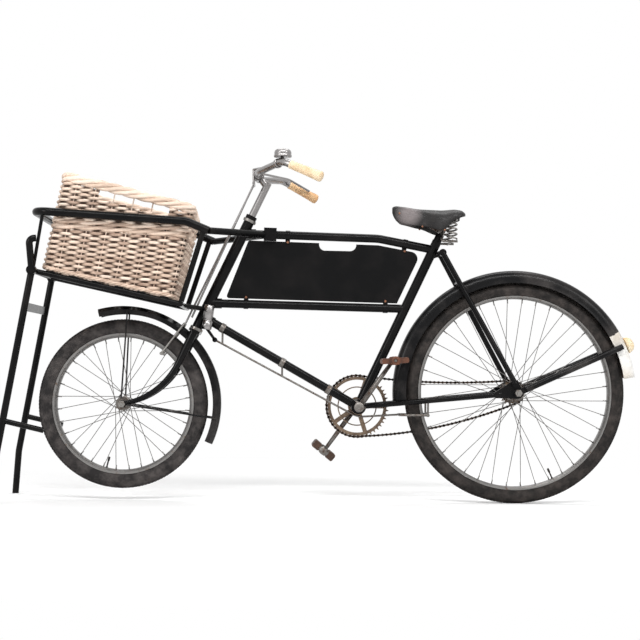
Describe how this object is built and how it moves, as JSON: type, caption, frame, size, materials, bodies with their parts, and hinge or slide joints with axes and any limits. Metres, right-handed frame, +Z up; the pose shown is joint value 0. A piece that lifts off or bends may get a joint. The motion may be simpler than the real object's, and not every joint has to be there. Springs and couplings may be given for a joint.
{
  "type": "delivery bicycle",
  "caption": "Steel delivery bicycle with a small front wheel, a wicker basket on a frame-fixed front carrier, a blank sign panel and a folding front stand.",
  "frame": {"origin": "on the ground, at the middle of the bounding box", "axes": "+Z up, the bicycle faces -X, its left side is -Y"},
  "size_m": [1.8973, 0.5732, 1.0306],
  "materials": {
    "frame_paint": "black enamel, slightly worn",
    "carrier_paint": "black enamel, slightly worn",
    "guard_paint": "black enamel, white at the tail",
    "panel_paint": "satin black enamel",
    "worn_steel": "dull, with rust",
    "bell_steel": "dulled",
    "rim_steel": "dull, with rust",
    "drive_steel": "brown with rust and oil",
    "tyre_rubber": "dusty",
    "pedal_rubber": "worn brown-black",
    "grip_plastic": "cream, worn",
    "saddle_hide": "cracked dark leather",
    "willow": "woven willow",
    "lamp_lens": "yellowed lens"
  },
  "bodies": {
    "frame": {"head_tube": "frame_paint", "headset_cups": "frame_paint", "top_tube": "frame_paint", "panel_tube": "frame_paint", "down_tube": "frame_paint", "seat_tube": "frame_paint", "bottom_bracket": "frame_paint", "chain_stays": "frame_paint", "seat_stays": "frame_paint", "stay_bridges": "frame_paint", "seat_post": "worn_steel", "saddle_leather": "saddle_hide", "saddle_frame": "worn_steel", "saddle_springs": "worn_steel", "sign_panel": "panel_paint", "panel_clips": "worn_steel", "carrier_platform": "carrier_paint", "carrier_rail": "carrier_paint", "carrier_uprights": "carrier_paint", "carrier_arms": "carrier_paint", "carrier_clamp": "worn_steel", "carrier_bracket": "carrier_paint", "basket": "willow", "rear_mudguard": "guard_paint", "guard_stays": "guard_paint", "tail_reflector": "lamp_lens", "rear_axle": "worn_steel", "rear_brake_rod": "worn_steel", "rear_brake": "worn_steel", "chain": "drive_steel"},
    "steering": {"fork_crown": "frame_paint", "fork_blades": "frame_paint", "front_axle": "worn_steel", "stem": "worn_steel", "handlebar": "worn_steel", "grips": "grip_plastic", "bell": "bell_steel", "brake_levers": "worn_steel", "front_brake": "worn_steel", "front_mudguard": "guard_paint", "front_guard_stays": "worn_steel"},
    "front_wheel": {"front_tyre": "tyre_rubber", "front_rim": "rim_steel", "front_spokes": "rim_steel", "front_hub": "rim_steel"},
    "rear_wheel": {"rear_tyre": "tyre_rubber", "rear_rim": "rim_steel", "rear_spokes": "rim_steel", "rear_hub": "rim_steel", "rear_sprocket": "drive_steel"},
    "crankset": {"crank_axle": "worn_steel", "chainring": "drive_steel", "left_crank": "worn_steel", "right_crank": "worn_steel"},
    "left_pedal_body": {"left_pedal": "pedal_rubber"},
    "right_pedal_body": {"right_pedal": "pedal_rubber"},
    "stand": {"stand_legs": "carrier_paint", "stand_rung": "carrier_paint"}
  },
  "joints": [
    {"name": "steer", "type": "hinge", "parent": "frame", "child": "steering", "pos_m": [-0.3746, 0, 0.516], "axis": [0.4281, 0, 0.9037], "range_deg": [-30, 30]},
    {"name": "front_spin", "type": "hinge", "parent": "steering", "child": "front_wheel", "pos_m": [-0.59, 0, 0.2866], "axis": [0, 1, 0], "continuous": true},
    {"name": "rear_spin", "type": "hinge", "parent": "frame", "child": "rear_wheel", "pos_m": [0.582, 0, 0.332], "axis": [0, 1, 0], "continuous": true},
    {"name": "crank_spin", "type": "hinge", "parent": "frame", "child": "crankset", "pos_m": [0.111, 0, 0.285], "axis": [0, 1, 0], "continuous": true},
    {"name": "left_pedal_spin", "type": "hinge", "parent": "crankset", "child": "left_pedal_body", "pos_m": [0.20972, -0.12, 0.4234], "axis": [0, 1, 0], "continuous": true},
    {"name": "right_pedal_spin", "type": "hinge", "parent": "crankset", "child": "right_pedal_body", "pos_m": [0.01228, 0.12, 0.1466], "axis": [0, 1, 0], "continuous": true},
    {"name": "stand_fold", "type": "hinge", "parent": "frame", "child": "stand", "pos_m": [-0.83952, 0, 0.67023], "axis": [0, -1, 0], "range_deg": [0, 76]}
  ]
}
